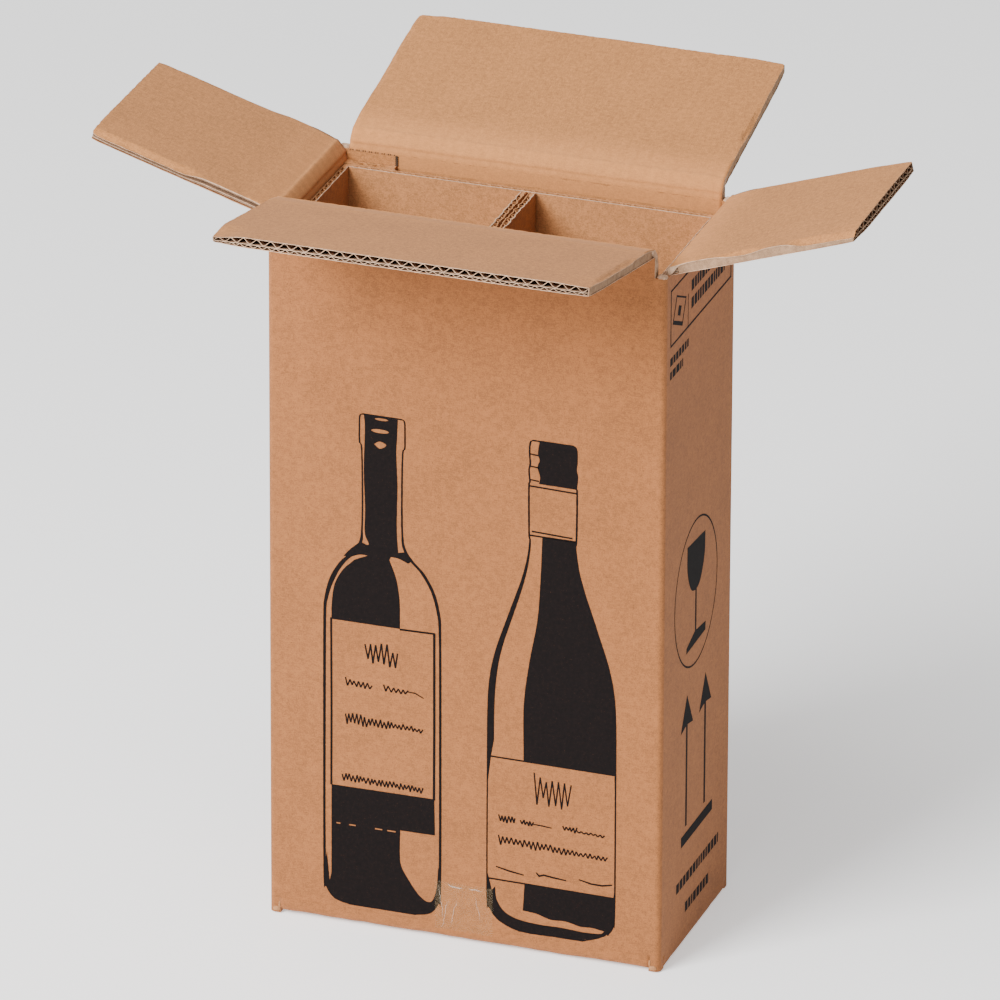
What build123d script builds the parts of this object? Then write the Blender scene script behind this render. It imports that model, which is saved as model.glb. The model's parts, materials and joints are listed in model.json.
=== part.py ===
from build123d import *
import math
import os

# Bottle shipping box: a folded corrugated carton with four hinged top flaps,
# a taped bottom and a loose two-cell insert.
# Millimetres. X runs along the front, Y to the back, Z up.
# Origin: centre of the footprint, on the surface that the box stands on.

# --- driving dimensions -----------------------------------------------------
box_width = 216.0            # outer, left to right
box_depth = 112.0            # outer, front to back
side_crease_height = 392.0   # ground to the top creases of the two side walls
corner_radius = 3.0          # outer radius of the folded vertical corners
bottom_fold_radius = 2.4     # outer radius of the folds under the walls

# double-wall board, from the inside of the box to the outside
liner = 0.3                  # each of the three flat papers
fluting_paper = 0.25         # each of the two wavy papers
inner_flute_height = 3.0     # between the inner and the middle liner
outer_flute_height = 1.5     # between the middle and the outer liner
inner_flute_pitch = 7.4
outer_flute_pitch = 4.93
cut_edge_web = 0.8           # crushed board along a cut that runs with the flutes

# flaps
flap_end_gap = 8.0           # closed top flap's free edge to the far wall, or to its pair
bottom_end_gap = 8.0         # the same for the bottom flaps
slot_clearance = 0.8         # flap edge to the inside of the wall beside it
fold_gap = 0.3               # between board faces that lie on each other
crease_clearance = 0.3       # between a top flap and its wall, along the crease
crease_strip = 9.0           # crushed, flute-free strip beside a crease
flap_corner_radius = 2.0
front_flap_open = 79.0       # outward from upright, as the box stands open
back_flap_open = 76.0
left_flap_open = 73.0
right_flap_open = 71.5

# glued joint inside the back wall
glue_tab_width = 27.0
glue_tab_drop = 0.4          # top of the tab below the closed side flap
glue_tab_lip = 0.5           # its crushed end, behind the edge of the closed side flap

# insert of single-wall board
insert_headroom = 0.8        # top of the insert to the closed side flaps
insert_liner = 0.25
insert_flute_height = 2.5
insert_flute_pitch = 6.0
insert_clearance = 0.7       # insert to carton wall
insert_corner_radius = 1.5
divider_gap = 2.0            # between the two plies of the divider
divider_end_gap = 0.5        # divider plies to the back panel

# tape across the bottom seam
tape_width = 32.0
tape_thickness = 0.1
tape_rise = 33.0             # up the front and the back wall

# --- sizes that follow ------------------------------------------------------
board = 3 * liner + inner_flute_height + outer_flute_height
layer = board + fold_gap
setback = board + slot_clearance
wide_half = box_width / 2 - setback      # half width of front and back flaps
narrow_half = box_depth / 2 - setback    # half width of the side flaps
wide_flap_length = box_depth - flap_end_gap
narrow_flap_length = (box_width - flap_end_gap) / 2
wide_bottom_length = box_depth - bottom_end_gap
narrow_bottom_length = (box_width - bottom_end_gap) / 2

back_crease_height = side_crease_height + layer
front_crease_height = back_crease_height + layer

side_fold = 0.0                          # underside of each layer of the bottom
front_fold = side_fold + layer
back_fold = front_fold + layer
inner_floor = back_fold + board

insert_board = 2 * insert_liner + insert_flute_height
insert_height = side_crease_height - board - insert_headroom - inner_floor
insert_width = box_width - 2 * board - 2 * insert_clearance
insert_depth = box_depth - 2 * board - 2 * insert_clearance - board


# --- corrugated sections ----------------------------------------------------
def flute_voids(start, end, low, high, pitch):
    """Hollows between a wavy paper and the two liners that it is glued to.

    The board lies along X from start to end; low and high are the inner faces
    of the liners. Each hollow is a flat-sided polygon that follows the wave.
    """
    middle = (low + high) / 2
    reach = (high - low - fluting_paper) / 2
    phases = (0.1, 0.3, 0.43, 0.57, 0.7, 0.9)
    offset = 0.8 * fluting_paper
    voids = []
    count = math.floor((end - start) / pitch * 2 - 0.001) - 1
    lead = (end - start - (count + 1) * pitch / 2) / 2
    for index in range(count):
        origin = start + lead + index * pitch / 2
        side = 1 if index % 2 == 0 else -1
        liner_face = high if side == 1 else low
        outline = [(origin + phases[0] * pitch, liner_face)]
        for phase in phases[1:-1]:
            wave = middle + side * reach * math.cos(2 * math.pi * phase)
            outline.append((origin + phase * pitch, wave + side * offset))
        outline.append((origin + phases[-1] * pitch, liner_face))
        voids.append(outline)
    return voids


def double_wall_voids(length):
    """Hollows of the carton board across a strip of this length, centred on X."""
    start = -length / 2 + cut_edge_web
    end = length / 2 - cut_edge_web
    inner_low = liner
    inner_high = inner_low + inner_flute_height
    outer_low = inner_high + liner
    outer_high = outer_low + outer_flute_height
    inner = flute_voids(start, end, inner_low, inner_high, inner_flute_pitch)
    outer = flute_voids(start, end, outer_low, outer_high, outer_flute_pitch)
    return inner + outer


def section_face(outline, voids):
    """Flat face with the given outline wire and polygonal hollows."""
    holes = [Wire.make_polygon([Vector(x, y) for x, y in void]) for void in voids]
    return Face(outline, holes)


def placed_voids(voids, corner, direction, normal):
    """Turns hollows of a flat board into those of a panel of a folded section.

    corner is one end of the face where the board's thickness starts, direction
    runs along that face and normal points through the board.
    """
    placed = []
    for void in voids:
        placed.append([
            (
                corner[0] + u * direction[0] + w * normal[0],
                corner[1] + u * direction[1] + w * normal[1],
            )
            for u, w in void
        ])
    return placed


def fluted_board(width, length):
    """Double-wall board lying flat, centred on X, flutes along Y from Y = 0.

    Its inner liner is at Z = 0 and its outer liner at Z = board.
    """
    half = width / 2
    plane = Plane(origin=(0, 0, 0), x_dir=(1, 0, 0), z_dir=(0, -1, 0))
    outline = Wire.make_polygon(
        [Vector(-half, 0), Vector(half, 0), Vector(half, board), Vector(-half, board)]
    )
    section = plane * section_face(outline, double_wall_voids(width))
    return Solid.extrude(section, Vector(0, length, 0))


# --- carton -----------------------------------------------------------------
def slab(x_range, y_range, z_range):
    """Rectangular block between three pairs of limits."""
    size = [limits[1] - limits[0] for limits in (x_range, y_range, z_range)]
    middle = [(limits[1] + limits[0]) / 2 for limits in (x_range, y_range, z_range)]
    return Pos(*middle) * Box(*size)


def edge_cut(outer, inner, top, half, along_x):
    """Wedge that bevels the top of a wall down from its outer to its inner face."""
    over = 1.0
    slope = (inner - outer) / abs(inner - outer)
    points = [
        (outer - slope * over, top + over),
        (inner + slope * over, top - board - over),
        (inner + slope * over, top + over),
    ]
    if along_x:
        wire = Wire.make_polygon([Vector(-half, y, z) for y, z in points])
        return Solid.extrude(Face(wire), Vector(2 * half, 0, 0))
    wire = Wire.make_polygon([Vector(x, -half, z) for x, z in points])
    return Solid.extrude(Face(wire), Vector(0, 2 * half, 0))


def bottom_flap(outer, underside, half, length, turn):
    """Closed bottom flap with the rounded fold that joins it to its wall.

    outer is the distance from the middle of the box to the wall's outer face.
    turn swings the flap about Z from the front of the box to its own side.
    """
    crushed = board + crease_strip
    strip = slab((-half, half), (-outer, -outer + crushed), (underside, underside + board))
    low_edges = strip.edges().filter_by(Axis.X).group_by(Axis.Z)[0]
    strip = fillet(low_edges.sort_by(Axis.Y)[0], bottom_fold_radius)
    board_end = Pos(0, crushed - outer, underside + board) * Rot(0, 180, 0)
    panel = board_end * fluted_board(2 * half, length - crushed)
    return Rot(0, 0, turn) * (strip + panel)


def fluted_walls(low, high):
    """The four walls as one folded section of double-wall board, flutes upright."""
    half_x = box_width / 2
    half_y = box_depth / 2
    with BuildSketch() as ring:
        RectangleRounded(box_width, box_depth, corner_radius)
        Rectangle(box_width - 2 * board, box_depth - 2 * board, mode=Mode.SUBTRACT)
    outline = ring.sketch.faces()[0]
    wide = double_wall_voids(box_width - 2 * board)
    narrow = double_wall_voids(box_depth - 2 * board)
    voids = placed_voids(wide, (0, -half_y + board), (1, 0), (0, -1))
    voids += placed_voids(wide, (0, half_y - board), (1, 0), (0, 1))
    voids += placed_voids(narrow, (-half_x + board, 0), (0, 1), (-1, 0))
    voids += placed_voids(narrow, (half_x - board, 0), (0, 1), (1, 0))
    holes = [Wire.make_polygon([Vector(x, y) for x, y in void]) for void in voids]
    section = Face(outline.outer_wire(), list(outline.inner_wires()) + holes)
    return Pos(0, 0, low) * Solid.extrude(section, Vector(0, 0, high - low))


def make_carton_body():
    half_x = box_width / 2
    half_y = box_depth / 2

    with BuildSketch() as ring:
        RectangleRounded(box_width, box_depth, corner_radius)
        Rectangle(box_width - 2 * board, box_depth - 2 * board, mode=Mode.SUBTRACT)
    walls = extrude(ring.sketch, side_crease_height - side_fold)
    body = Pos(0, 0, side_fold) * walls

    # front and back walls stand higher than the side walls, between the slots
    front_wall = (-half_y, -half_y + board)
    back_wall = (half_y - board, half_y)
    wide = (-wide_half, wide_half)
    lap = (side_crease_height - board, side_crease_height)
    body += slab(wide, front_wall, (lap[0], front_crease_height))
    body += slab(wide, back_wall, (lap[0], back_crease_height))

    # bevelled creases
    body -= edge_cut(-half_y, -half_y + board, front_crease_height, wide_half, True)
    body -= edge_cut(half_y, half_y - board, back_crease_height, wide_half, True)
    notch = narrow_half + fold_gap
    body -= edge_cut(-half_x, -half_x + board, side_crease_height, notch, False)
    body -= edge_cut(half_x, half_x - board, side_crease_height, notch, False)

    # between the bottom slots each wall ends at its own fold
    body -= slab(wide, (-half_y - 1, -half_y + board), (0, front_fold + board))
    body -= slab(wide, (half_y - board, half_y + 1), (0, back_fold + board))
    narrow = (-narrow_half, narrow_half)
    for wall in ((-half_x - 1, -half_x + board), (half_x - board, half_x + 1)):
        body -= slab(wall, narrow, (0, side_fold + board))

    body += bottom_flap(half_x, side_fold, narrow_half, narrow_bottom_length, -90)
    body += bottom_flap(half_x, side_fold, narrow_half, narrow_bottom_length, 90)
    body += bottom_flap(half_y, front_fold, wide_half, wide_bottom_length, 0)
    body += bottom_flap(half_y, back_fold, wide_half, wide_bottom_length, 180)

    # the tape is pressed flush into the underside
    tape_strip = (-tape_width / 2, tape_width / 2)
    body -= slab(tape_strip, narrow, (side_fold, side_fold + tape_thickness))

    # between the crushed strips beside the creases the walls keep their flutes
    low = inner_floor + crease_strip
    high = side_crease_height - board - crease_strip
    body -= slab((-half_x - 1, half_x + 1), (-half_y - 1, half_y + 1), (low, high))
    body += fluted_walls(low, high)

    # glue tab: the end of the left wall, folded flat inside the back wall
    tab_base = inner_floor + fold_gap
    tab_top = side_crease_height - board - glue_tab_drop
    tab_middle = -half_x + board + glue_tab_width / 2
    tab = fluted_board(glue_tab_width, tab_top - tab_base)
    body += Pos(tab_middle, half_y - 2 * board, tab_base) * Rot(0, 0, 180) * Rot(90, 0, 0) * tab
    body += slab(
        (tab_middle - glue_tab_width / 2, tab_middle + glue_tab_width / 2),
        (half_y - board - glue_tab_lip, half_y - board),
        (tab_top, back_crease_height - board - crease_clearance),
    )
    return body


# --- top flaps --------------------------------------------------------------
def corner_waste(side, half, length):
    """What is cut away outside the rounded corner of a free edge. side is -1 or 1."""
    over = 1.0
    x_range = sorted((side * (half - flap_corner_radius), side * (half + over)))
    y_range = (length - flap_corner_radius, length + over)
    corner = slab(x_range, y_range, (-over, board + over))
    middle = Pos(side * (half - flap_corner_radius), length - flap_corner_radius, board / 2)
    return corner - middle * Cylinder(flap_corner_radius, board + 4 * over)


def make_flap(half, length):
    """Top flap lying flat: crease along X at Y = 0, free edge at Y = length.

    Its inner liner is at Z = 0 and its outer liner at Z = board. The hinge
    line is the outer face of the crease, at Y = 0 and Z = board.
    """
    width = 2 * half
    start = board + crease_strip

    fluted = Pos(0, start, 0) * fluted_board(width, length - start)

    # crushed strip with the bevelled end that meets the wall
    profile = [
        Vector(-half, crease_clearance, board),
        Vector(-half, start, board),
        Vector(-half, start, 0),
        Vector(-half, board + crease_clearance, 0),
    ]
    strip = Solid.extrude(Face(Wire.make_polygon(profile)), Vector(width, 0, 0))
    flap = fluted + strip

    for side in (-1, 1):
        flap -= corner_waste(side, half, length)
    return flap


def place_flap(flap, crease, turn, opened):
    """Hang a flat flap on its wall.

    crease is the middle of the hinge line. turn swings the closed flap about Z
    so that its free edge points into the box. opened is measured outward from
    upright.
    """
    hinged = Pos(0, 0, -board) * flap
    return Pos(*crease) * Rot(0, 0, turn) * Rot(90 + opened, 0, 0) * hinged


def make_top_flaps():
    half_x = box_width / 2
    half_y = box_depth / 2
    wide_flap = make_flap(wide_half, wide_flap_length)
    narrow_flap = make_flap(narrow_half, narrow_flap_length)
    front = (0, -half_y, front_crease_height)
    back = (0, half_y, back_crease_height)
    left = (-half_x, 0, side_crease_height)
    right = (half_x, 0, side_crease_height)
    return {
        "top_flap_front": place_flap(wide_flap, front, 0, front_flap_open),
        "top_flap_back": place_flap(wide_flap, back, 180, back_flap_open),
        "top_flap_left": place_flap(narrow_flap, left, -90, left_flap_open),
        "top_flap_right": place_flap(narrow_flap, right, 90, right_flap_open),
    }


# --- bottle insert ----------------------------------------------------------
def panel_voids(corner, direction, normal, length):
    """Hollows of one insert panel, from a corner of its face along direction."""
    low = insert_liner
    high = insert_board - insert_liner
    voids = flute_voids(insert_board, length - insert_board, low, high, insert_flute_pitch)
    return placed_voids(voids, corner, direction, normal)


def make_insert():
    """One folded sheet: a closed sleeve whose two ends meet as the divider."""
    half_w = insert_width / 2
    half_d = insert_depth / 2
    half_gap = divider_gap / 2
    inside_w = half_w - insert_board
    inside_d = half_d - insert_board
    cell_width = inside_w - half_gap - insert_board
    cell_middle = half_gap + insert_board + cell_width / 2
    ply_end = inside_d - divider_end_gap

    with BuildSketch() as plan:
        RectangleRounded(insert_width, insert_depth, insert_corner_radius)
        with Locations((-cell_middle, 0), (cell_middle, 0)):
            Rectangle(cell_width, 2 * inside_d, mode=Mode.SUBTRACT)
        with Locations((0, -insert_board / 2)):
            Rectangle(divider_gap, inside_d + half_d, mode=Mode.SUBTRACT)
        with Locations((0, inside_d - divider_end_gap / 2)):
            Rectangle(2 * cell_middle, divider_end_gap, mode=Mode.SUBTRACT)
    outline = plan.sketch.faces()[0].outer_wire()

    front_length = half_w - half_gap
    ply_length = ply_end + half_d
    voids = panel_voids((-half_w, half_d), (1, 0), (0, -1), insert_width)
    for side in (-1, 1):
        outer_corner = (side * half_w, -half_d)
        middle_corner = (side * half_gap, -half_d)
        voids += panel_voids(outer_corner, (0, 1), (-side, 0), insert_depth)
        voids += panel_voids(middle_corner, (side, 0), (0, 1), front_length)
        voids += panel_voids(middle_corner, (0, 1), (side, 0), ply_length)
    section = section_face(outline, voids)
    sleeve = Solid.extrude(section, Vector(0, 0, insert_height))
    front_limit = -box_depth / 2 + board + insert_clearance
    return Pos(0, front_limit + half_d, inner_floor) * sleeve


# --- tape -------------------------------------------------------------------
def make_tape():
    """Film along the bottom seam and up the middle of the front and back walls."""
    half_y = box_depth / 2
    leave = 0.6 * bottom_fold_radius
    path = Wire.make_polygon(
        [
            Vector(-half_y, tape_rise),
            Vector(-half_y, front_fold + leave),
            Vector(-narrow_half, side_fold + tape_thickness),
            Vector(narrow_half, side_fold + tape_thickness),
            Vector(half_y, back_fold + leave),
            Vector(half_y, tape_rise),
        ],
        close=False,
    )
    band = path.offset_2d(tape_thickness, kind=Kind.INTERSECTION, side=Side.RIGHT)
    section = Plane(origin=(-tape_width / 2, 0, 0), x_dir=(0, 1, 0), z_dir=(1, 0, 0)) * Face(band)
    return Solid.extrude(section, Vector(tape_width, 0, 0))


os.makedirs("parts", exist_ok=True)

nodes = {
    "carton_body": make_carton_body(),
    "bottle_insert": make_insert(),
    "bottom_tape": make_tape(),
}
nodes.update(make_top_flaps())

for name, shape in nodes.items():
    export_step(shape, os.path.join("parts", name + ".step"))
    print(name, round(shape.volume / 1000, 2), "cm3")
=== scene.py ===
import json
import math
import random

import bmesh
import bpy
from mathutils import Matrix, Vector, noise


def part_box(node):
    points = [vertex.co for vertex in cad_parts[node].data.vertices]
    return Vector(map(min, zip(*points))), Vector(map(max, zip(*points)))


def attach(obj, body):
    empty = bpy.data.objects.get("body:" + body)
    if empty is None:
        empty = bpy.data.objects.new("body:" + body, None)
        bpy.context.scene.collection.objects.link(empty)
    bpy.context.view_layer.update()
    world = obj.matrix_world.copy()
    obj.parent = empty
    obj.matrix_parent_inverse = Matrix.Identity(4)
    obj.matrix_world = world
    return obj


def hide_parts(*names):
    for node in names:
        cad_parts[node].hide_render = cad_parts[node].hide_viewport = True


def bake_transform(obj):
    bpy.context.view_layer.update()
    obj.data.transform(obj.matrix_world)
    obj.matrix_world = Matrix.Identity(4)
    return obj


# Bottle shipping box. Metres, in the frame of the CAD model.
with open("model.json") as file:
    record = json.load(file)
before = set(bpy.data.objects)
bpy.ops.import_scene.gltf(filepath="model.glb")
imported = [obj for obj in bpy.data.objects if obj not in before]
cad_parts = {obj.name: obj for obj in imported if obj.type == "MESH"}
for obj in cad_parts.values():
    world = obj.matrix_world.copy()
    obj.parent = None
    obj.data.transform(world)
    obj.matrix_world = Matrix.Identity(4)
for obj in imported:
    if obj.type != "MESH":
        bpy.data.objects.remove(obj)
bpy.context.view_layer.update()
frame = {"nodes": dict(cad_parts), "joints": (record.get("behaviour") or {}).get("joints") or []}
nodes = frame["nodes"]
MM = 0.001

# --- board ------------------------------------------------------------------
BOARD = 5.4 * MM                 # double-wall board
LINER = 0.34 * MM
FLUTING = 0.32 * MM              # wavy papers
WIDE_WAVE = (2.86 * MM, 7.4 * MM)    # height and pitch of the flute under the inner liner
FINE_WAVE = (1.52 * MM, 4.93 * MM)   # height and pitch of the flute under the outer liner
FLAP_LENGTH = 104 * MM
CREASE_STRIP = 14 * MM           # width of the crushed strip beside a crease
CREASE_BOARD = 4.1 * MM          # thickness of the crushed board on the crease

TAB_WIDTH = 27 * MM              # glue tab inside the back wall

body_low, body_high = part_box("carton_body")
FRONT = body_low.y
RIGHT = body_high.x
hinges = {joint["child"]: joint for joint in frame["joints"]}
SIDE_CREASE = hinges["right_flap"]["pos_m"][2]
BACK_CREASE = hinges["back_flap"]["pos_m"][2]
wide_low, wide_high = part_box("top_flap_front")
narrow_low, narrow_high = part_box("top_flap_right")
WIDE_HALF = (wide_high.x - wide_low.x) / 2
NARROW_HALF = (narrow_high.y - narrow_low.y) / 2

# --- colours, linear --------------------------------------------------------
KRAFT_OUT = (0.325, 0.120, 0.037)
KRAFT_IN = (0.445, 0.186, 0.060)
KRAFT_INSERT = (0.47, 0.200, 0.072)
CUT_PAPER = (0.57, 0.38, 0.25)
FLUTE_PAPER = (0.30, 0.18, 0.11)
INK = (0.0046, 0.0027, 0.0026)
BEAD_PAPER = (0.58, 0.38, 0.25)
CURLED_PAPER = (0.46, 0.22, 0.10)
PRESSED_PAPER = (0.36, 0.215, 0.125)
FILM = (0.62, 0.42, 0.20)


# --- node helpers -----------------------------------------------------------
def link(tree, source, target):
    tree.links.new(source, target)


def add(tree, kind, inputs=None, **settings):
    """Node of this kind with its settings made and its inputs set or linked."""
    node = tree.nodes.new(kind)
    for name, value in settings.items():
        setattr(node, name, value)
    for name, value in (inputs or {}).items():
        if isinstance(value, bpy.types.NodeSocket):
            link(tree, value, node.inputs[name])
        else:
            node.inputs[name].default_value = value
    return node


def maths(tree, operation, first, second=0.0, third=0.0):
    node = add(tree, "ShaderNodeMath", {0: first, 1: second, 2: third}, operation=operation)
    return node.outputs[0]


def tint(colour, factor):
    return (*[channel * factor for channel in colour], 1.0)


def blend_colour(tree, share, first, second, mode="MIX"):
    node = add(tree, "ShaderNodeMix", data_type="RGBA", blend_type=mode)
    for index, value in ((0, share), (6, first), (7, second)):
        if isinstance(value, bpy.types.NodeSocket):
            link(tree, value, node.inputs[index])
        else:
            node.inputs[index].default_value = value
    return node.outputs[2]


def noise_at(tree, place, scale, detail=3.0, roughness=0.6):
    inputs = {"Vector": place, "Scale": scale, "Detail": detail, "Roughness": roughness}
    return add(tree, "ShaderNodeTexNoise", inputs).outputs["Fac"]


def spread(tree, value, low, high, out_low=0.0, out_high=1.0):
    inputs = {0: value, 1: low, 2: high, 3: out_low, 4: out_high}
    return add(tree, "ShaderNodeMapRange", inputs).outputs[0]


def stretched(tree, place, turn, scale):
    """Coordinates turned about Y and Z, then stretched along one direction."""
    return add(tree, "ShaderNodeMapping", {"Vector": place, "Rotation": turn, "Scale": scale}).outputs[0]


# --- materials --------------------------------------------------------------
def inside_share(tree, place):
    """1 on what lies inside the middle of the carton walls, 0 outside."""
    parts = add(tree, "ShaderNodeSeparateXYZ", {0: place})
    shares = []
    for index, limit in enumerate((RIGHT - BOARD / 2, -FRONT - BOARD / 2)):
        away = maths(tree, "ABSOLUTE", parts.outputs[index])
        shares.append(maths(tree, "LESS_THAN", away, limit))
    above = maths(tree, "GREATER_THAN", parts.outputs[2], BOARD / 2)
    return maths(tree, "MULTIPLY", maths(tree, "MULTIPLY", shares[0], shares[1]), above)


def paper_material(name, colour, place_from="Object", wave=None, inside=None, mottle=0.18, fleck=0.5):
    """Kraft paper: pulp clouds, crossing fibres, dark and pale flecks and a faint trace of the flutes.

    place_from is Object, or the name of the piece's own attribute. wave is the pitch and the strength of
    the flute trace. With Object, the trace runs up the walls, and otherwise a painted highlight makes the
    paper paler where its attribute puts it near a crease. inside is the colour inside the carton.
    """
    material = bpy.data.materials.new(name)
    material.use_nodes = True
    tree = material.node_tree
    shader = tree.nodes["Principled BSDF"]
    coordinates = add(tree, "ShaderNodeTexCoord")
    if place_from == "Object":
        place = coordinates.outputs["Object"]
    else:
        place = add(tree, "ShaderNodeAttribute", attribute_name=place_from).outputs["Vector"]

    clouds = noise_at(tree, place, 38.0, 4.0, 0.62)
    pulp = noise_at(tree, place, 420.0, 5.0, 0.7)
    grain = noise_at(tree, place, 1700.0, 2.0, 0.6)
    fibres_a = noise_at(tree, stretched(tree, place, (0.5, 0.4, 0.7), (260, 1700, 1700)), 1.0, 3.0, 0.7)
    fibres_b = noise_at(tree, stretched(tree, place, (-0.6, 0.9, -0.5), (1700, 260, 1700)), 1.0, 3.0, 0.7)
    fibres = maths(tree, "MULTIPLY", maths(tree, "ADD", fibres_a, fibres_b), 0.5)

    texture = maths(tree, "MULTIPLY_ADD", pulp, 0.45, maths(tree, "MULTIPLY", grain, 0.45))
    texture = maths(tree, "MULTIPLY_ADD", fibres, 0.55, texture)
    tone = maths(tree, "MULTIPLY_ADD", clouds, 0.15, texture)
    share = spread(tree, tone, 0.69, 0.91)
    paper = blend_colour(tree, share, tint((1, 1, 1), 1 - mottle * 1.6), tint((1, 1, 1), 1 + mottle))
    base = add(tree, "ShaderNodeRGB").outputs[0]
    base.default_value = tint(colour, 1.0)
    if inside:
        base = blend_colour(tree, inside_share(tree, place), base, tint(inside, 1.0))
    paper = blend_colour(tree, 1.0, paper, base, "MULTIPLY")

    specks = add(tree, "ShaderNodeTexVoronoi", {"Vector": place, "Scale": 620.0})
    small = spread(tree, specks.outputs["Distance"], 0.30, 0.16)
    chosen = add(tree, "ShaderNodeSeparateColor", {0: specks.outputs["Color"]})
    dark = maths(tree, "GREATER_THAN", chosen.outputs[0], 0.93)
    pale = maths(tree, "LESS_THAN", chosen.outputs[1], 0.07)
    dark_share = maths(tree, "MULTIPLY", maths(tree, "MULTIPLY", small, dark), fleck)
    pale_share = maths(tree, "MULTIPLY", maths(tree, "MULTIPLY", small, pale), fleck)
    paper = blend_colour(tree, dark_share, paper, tint(colour, 0.40))
    paper = blend_colour(tree, pale_share, paper, tint(colour, 1.45))

    height = maths(tree, "MULTIPLY", texture, 0.12)
    if wave:
        pitch, strength = wave
        if place_from == "Object":
            parts = add(tree, "ShaderNodeSeparateXYZ", {0: place})
            facing = add(tree, "ShaderNodeSeparateXYZ", {0: coordinates.outputs["Normal"]})
            sideways = maths(tree, "GREATER_THAN", maths(tree, "ABSOLUTE", facing.outputs[0]), 0.7)
            across = add(tree, "ShaderNodeMix", {0: sideways, 2: parts.outputs[0], 3: parts.outputs[1]})
            across = across.outputs[0]
        else:
            parts = add(tree, "ShaderNodeSeparateXYZ", {0: place})
            across = parts.outputs[0]
            # painted highlight: paper paler towards the crease, standing in for the light on the rounded crease
            painted_crease_highlight = spread(tree, parts.outputs[1], 22 * MM, 3 * MM, 0.0, 0.42)
            paper = blend_colour(tree, painted_crease_highlight, paper, tint(colour, 1.45))
        angle = maths(tree, "MULTIPLY", across, 2 * math.pi / pitch)
        ridge = maths(tree, "SINE", maths(tree, "MULTIPLY_ADD", clouds, 1.5, angle))
        trace = maths(tree, "MULTIPLY_ADD", ridge, 0.5, 0.5)
        patchy = maths(tree, "MULTIPLY", trace, spread(tree, clouds, 0.35, 0.65, 0.4, 1.0))
        paper = blend_colour(tree, maths(tree, "MULTIPLY", patchy, strength), paper, tint(colour, 0.72))
        height = maths(tree, "MULTIPLY_ADD", ridge, 0.35 * strength * 3, height)

    link(tree, paper, shader.inputs["Base Color"])
    link(tree, spread(tree, texture, 0.4, 0.9, 0.80, 0.94), shader.inputs["Roughness"])
    shader.inputs["Specular IOR Level"].default_value = 0.22
    shader.inputs["Sheen Weight"].default_value = 0.06
    shader.inputs["Sheen Roughness"].default_value = 0.6
    bump = add(tree, "ShaderNodeBump", {"Strength": 0.55, "Distance": 0.00025, "Height": height})
    link(tree, bump.outputs[0], shader.inputs["Normal"])
    return material


def cut_edge_material(name, colour):
    """Torn-fibre colour of a cut edge, in fine layers."""
    material = bpy.data.materials.new(name)
    material.use_nodes = True
    tree = material.node_tree
    shader = tree.nodes["Principled BSDF"]
    place = add(tree, "ShaderNodeTexCoord").outputs["Object"]
    fuzz = noise_at(tree, place, 2400.0, 3.0, 0.7)
    patches = noise_at(tree, place, 300.0, 3.0, 0.6)
    tone = maths(tree, "MULTIPLY_ADD", patches, 0.6, maths(tree, "MULTIPLY", fuzz, 0.6))
    paper = blend_colour(tree, spread(tree, tone, 0.42, 0.78), tint(colour, 0.62), tint(colour, 1.18))
    link(tree, paper, shader.inputs["Base Color"])
    shader.inputs["Roughness"].default_value = 0.95
    shader.inputs["Specular IOR Level"].default_value = 0.12
    bump = add(tree, "ShaderNodeBump", {"Strength": 0.7, "Distance": 0.0002, "Height": fuzz})
    link(tree, bump.outputs[0], shader.inputs["Normal"])
    return material


def ink_material():
    """Matt flexographic ink with pinholes where the paper shows through."""
    material = bpy.data.materials.new("print_ink")
    material.use_nodes = True
    tree = material.node_tree
    shader = tree.nodes["Principled BSDF"]
    place = add(tree, "ShaderNodeTexCoord").outputs["Object"]
    pulp = noise_at(tree, place, 520.0, 4.0, 0.7)
    holes = noise_at(tree, place, 1500.0, 3.0, 0.75)
    thin = maths(tree, "MULTIPLY", spread(tree, holes, 0.60, 0.74), spread(tree, pulp, 0.45, 0.65))
    shade = blend_colour(tree, spread(tree, pulp, 0.35, 0.65), tint(INK, 0.8), tint(INK, 1.35))
    colour = blend_colour(tree, maths(tree, "MULTIPLY", thin, 0.55), shade, tint(KRAFT_OUT, 0.45))
    link(tree, colour, shader.inputs["Base Color"])
    shader.inputs["Roughness"].default_value = 0.8
    shader.inputs["Specular IOR Level"].default_value = 0.12
    bump = add(tree, "ShaderNodeBump", {"Strength": 0.4, "Distance": 0.0002, "Height": pulp})
    link(tree, bump.outputs[0], shader.inputs["Normal"])
    return material


outer_paper = paper_material("kraft_liner", KRAFT_OUT, wave=(WIDE_WAVE[1], 0.05), inside=KRAFT_IN)
inner_paper = paper_material("kraft_inner_liner", KRAFT_IN, "board", wave=(WIDE_WAVE[1], 0.10))
flap_outer_paper = paper_material("kraft_flap_back", KRAFT_OUT, "board", wave=(FINE_WAVE[1], 0.07))
insert_paper = paper_material("kraft_insert", KRAFT_INSERT, wave=(6.0 * MM, 0.06))
fluting_paper = cut_edge_material("fluting_paper", FLUTE_PAPER)
cut_paper = cut_edge_material("cut_paper", CUT_PAPER)
bead_paper = cut_edge_material("crumpled_paper", BEAD_PAPER)
# painted shade: the fluting colour darkened for the shadowed gaps along the glue tab's edges
painted_shade_cut = cut_edge_material("painted_shade_cut", tint(FLUTE_PAPER, 0.3)[:3])
curled_paper = cut_edge_material("curled_paper", CURLED_PAPER)
pressed_paper = cut_edge_material("pressed_paper", PRESSED_PAPER)
ink = ink_material()


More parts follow.
